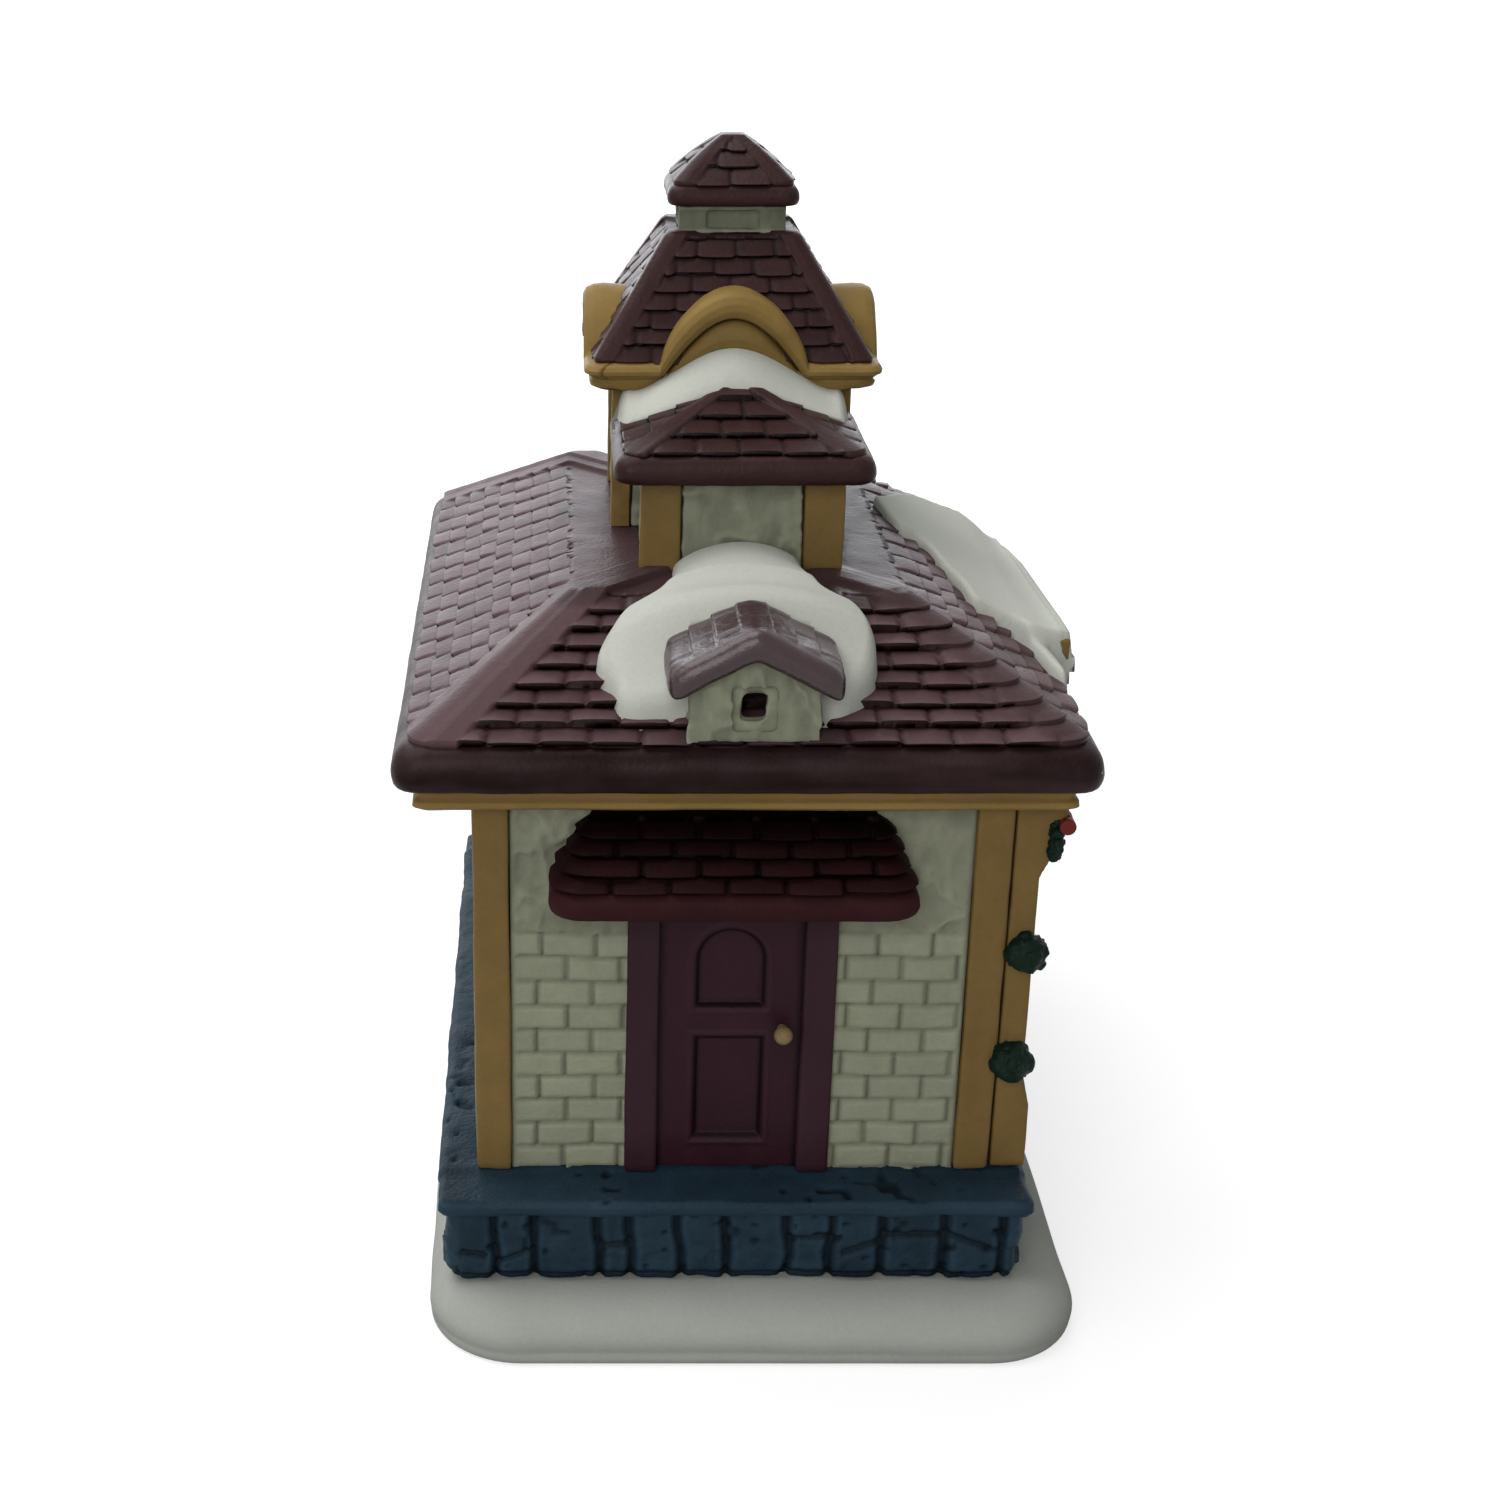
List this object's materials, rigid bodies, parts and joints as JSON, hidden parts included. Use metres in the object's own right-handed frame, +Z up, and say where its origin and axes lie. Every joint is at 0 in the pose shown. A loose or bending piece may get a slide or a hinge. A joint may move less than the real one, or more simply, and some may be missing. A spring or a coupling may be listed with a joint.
{
  "type": "ceramic christmas village house",
  "caption": "Painted bisque village house with a snowy hip roof, tower, dormer and canopied door, hollow and lit from inside by a clip-in lamp with a screw bulb.",
  "frame": {"origin": "on the ground under the middle of the house's eave rectangle, on the flat underside of the snow base", "axes": "+Z up, the small door end faces -Y, the long street front faces +X, the plain long side faces -X, the lamp goes in from +Y"},
  "size_m": [0.1028, 0.154, 0.1673],
  "materials": {
    "snow": "matt white bisque",
    "stone": "matt painted bisque",
    "wall": "matt painted bisque",
    "ochre": "matt painted bisque",
    "roof": "matt painted bisque",
    "plum": "matt painted bisque",
    "dark_frame": "matt painted bisque",
    "brass_paint": "bronze-painted bisque",
    "greens": "matt painted bisque",
    "red": "matt painted bisque",
    "film": "frosted",
    "holder": "moulded",
    "spring": "bare sheet",
    "contact": "bare",
    "cap": "rolled sheet",
    "glass": "clear blown glass"
  },
  "bodies": {
    "house": {"snow_base": "snow", "foundation_stones": "stone", "foundation_ledge": "stone", "front_wall": "wall", "rear_wall": "wall", "street_wall": "wall", "back_wall": "wall", "corner_post_front_left": "ochre", "corner_post_front_right": "ochre", "corner_post_rear_left": "ochre", "corner_post_rear_right": "ochre", "door_frame": "dark_frame", "door_leaf": "plum", "door_knob": "brass_paint", "door_canopy": "roof", "entrance_surround": "ochre", "entrance_door_front": "plum", "entrance_door_rear": "plum", "window_frame_street_front": "ochre", "window_frame_street_rear": "ochre", "window_frame_back_front": "ochre", "window_frame_back_rear": "ochre", "window_film_street": "film", "window_film_back": "film", "eave_fascia": "ochre", "street_parapet": "ochre", "main_roof": "roof", "dormer_walls": "wall", "dormer_roof": "roof", "front_snow": "snow", "bay_walls": "wall", "bay_post_left": "ochre", "bay_post_right": "ochre", "bay_roof": "roof", "bay_snow": "snow", "tower_walls": "wall", "tower_posts": "ochre", "tower_cornice": "ochre", "tower_hood_front": "ochre", "tower_hood_rear": "ochre", "tower_hood_left": "ochre", "tower_hood_right": "ochre", "tower_roof": "roof", "cupola_box": "wall", "cupola_roof": "roof", "pilaster_corner_front": "ochre", "pilaster_middle_front": "ochre", "pilaster_middle_rear": "ochre", "pilaster_corner_rear": "ochre", "green_bunches": "greens", "wreath": "greens", "bow": "red", "street_snow": "snow"},
    "lamp": {"lamp_flange": "holder", "lamp_socket": "holder", "lamp_clips": "spring", "lamp_contact": "contact"},
    "bulb": {"bulb_cap": "cap", "bulb_glass": "glass"}
  },
  "joints": [
    {"name": "lamp_slide", "type": "slide", "parent": "house", "child": "lamp", "axis": [0, 1, 0], "range_m": [0, 0.075]},
    {"name": "bulb_turn", "type": "hinge", "parent": "lamp", "child": "bulb", "pos_m": [0, 0.04, 0.0527], "axis": [0, -1, 0], "range_deg": [0, 1080]}
  ]
}
